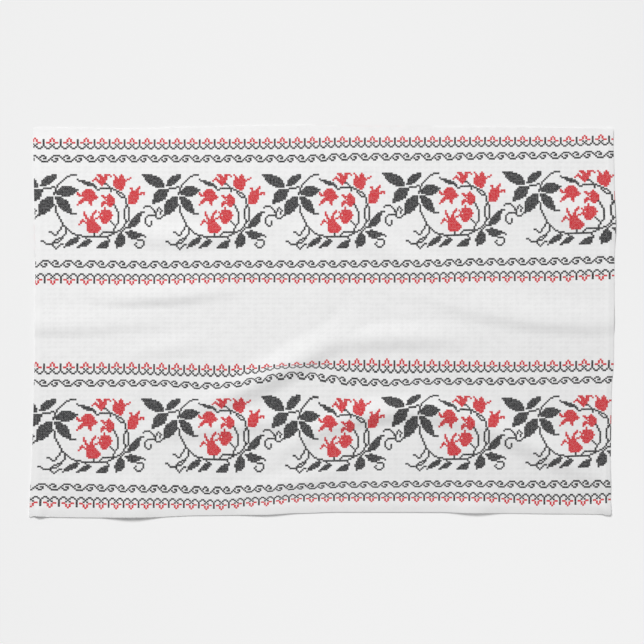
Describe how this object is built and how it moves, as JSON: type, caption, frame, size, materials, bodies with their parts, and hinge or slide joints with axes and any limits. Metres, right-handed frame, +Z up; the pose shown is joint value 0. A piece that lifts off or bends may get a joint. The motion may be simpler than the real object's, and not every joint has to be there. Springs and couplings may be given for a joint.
{
  "type": "tea towel",
  "caption": "Waffle-weave tea towel with narrow turned hems, laid out face up in low soft folds, printed with folk cross-stitch borders and a flowering vine.",
  "frame": {"origin": "on the surface the towel lies on, under the middle of its bounding box", "axes": "+X along the long side, +Y from the lower edge to the upper edge of the printed face, +Z up, out of the printed face"},
  "size_m": [0.6193, 0.415, 0.0064],
  "materials": {
    "cloth": "matt white waffle-weave microfibre, printed in charcoal and red"
  },
  "bodies": {
    "root": {"towel_cloth": "cloth"}
  },
  "joints": []
}
